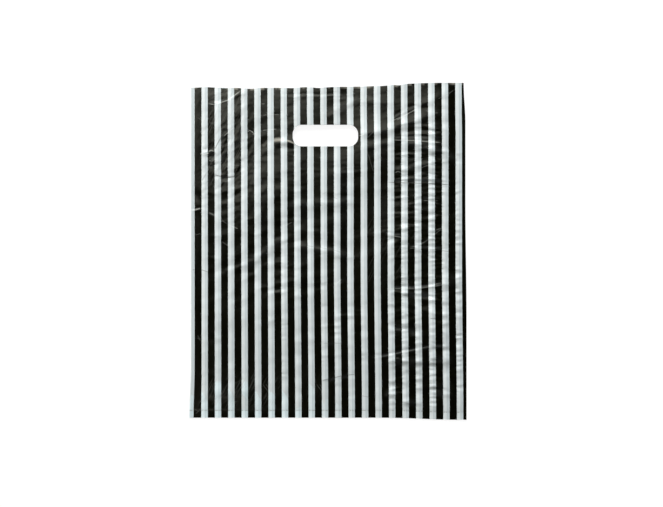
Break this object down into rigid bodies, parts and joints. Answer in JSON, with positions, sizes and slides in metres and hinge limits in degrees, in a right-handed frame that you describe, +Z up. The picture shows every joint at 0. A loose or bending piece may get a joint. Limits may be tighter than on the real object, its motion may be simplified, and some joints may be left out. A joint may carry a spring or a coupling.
{
  "type": "plastic carrier bag",
  "caption": "Flat film carrier bag with upright black and pearly white bars, a bottom heat seal and a hand slot punched through both panels.",
  "frame": {"origin": "middle of the footprint, on the surface that the back panel lies on", "axes": "+X towards the right fold, +Y towards the open mouth, +Z up through the front panel"},
  "size_m": [0.2564, 0.3116, 0.0021],
  "materials": {
    "printed_film": "pearly white film with glossy black printed bars"
  },
  "bodies": {
    "root": {"carrier_bag": "printed_film"}
  },
  "joints": []
}
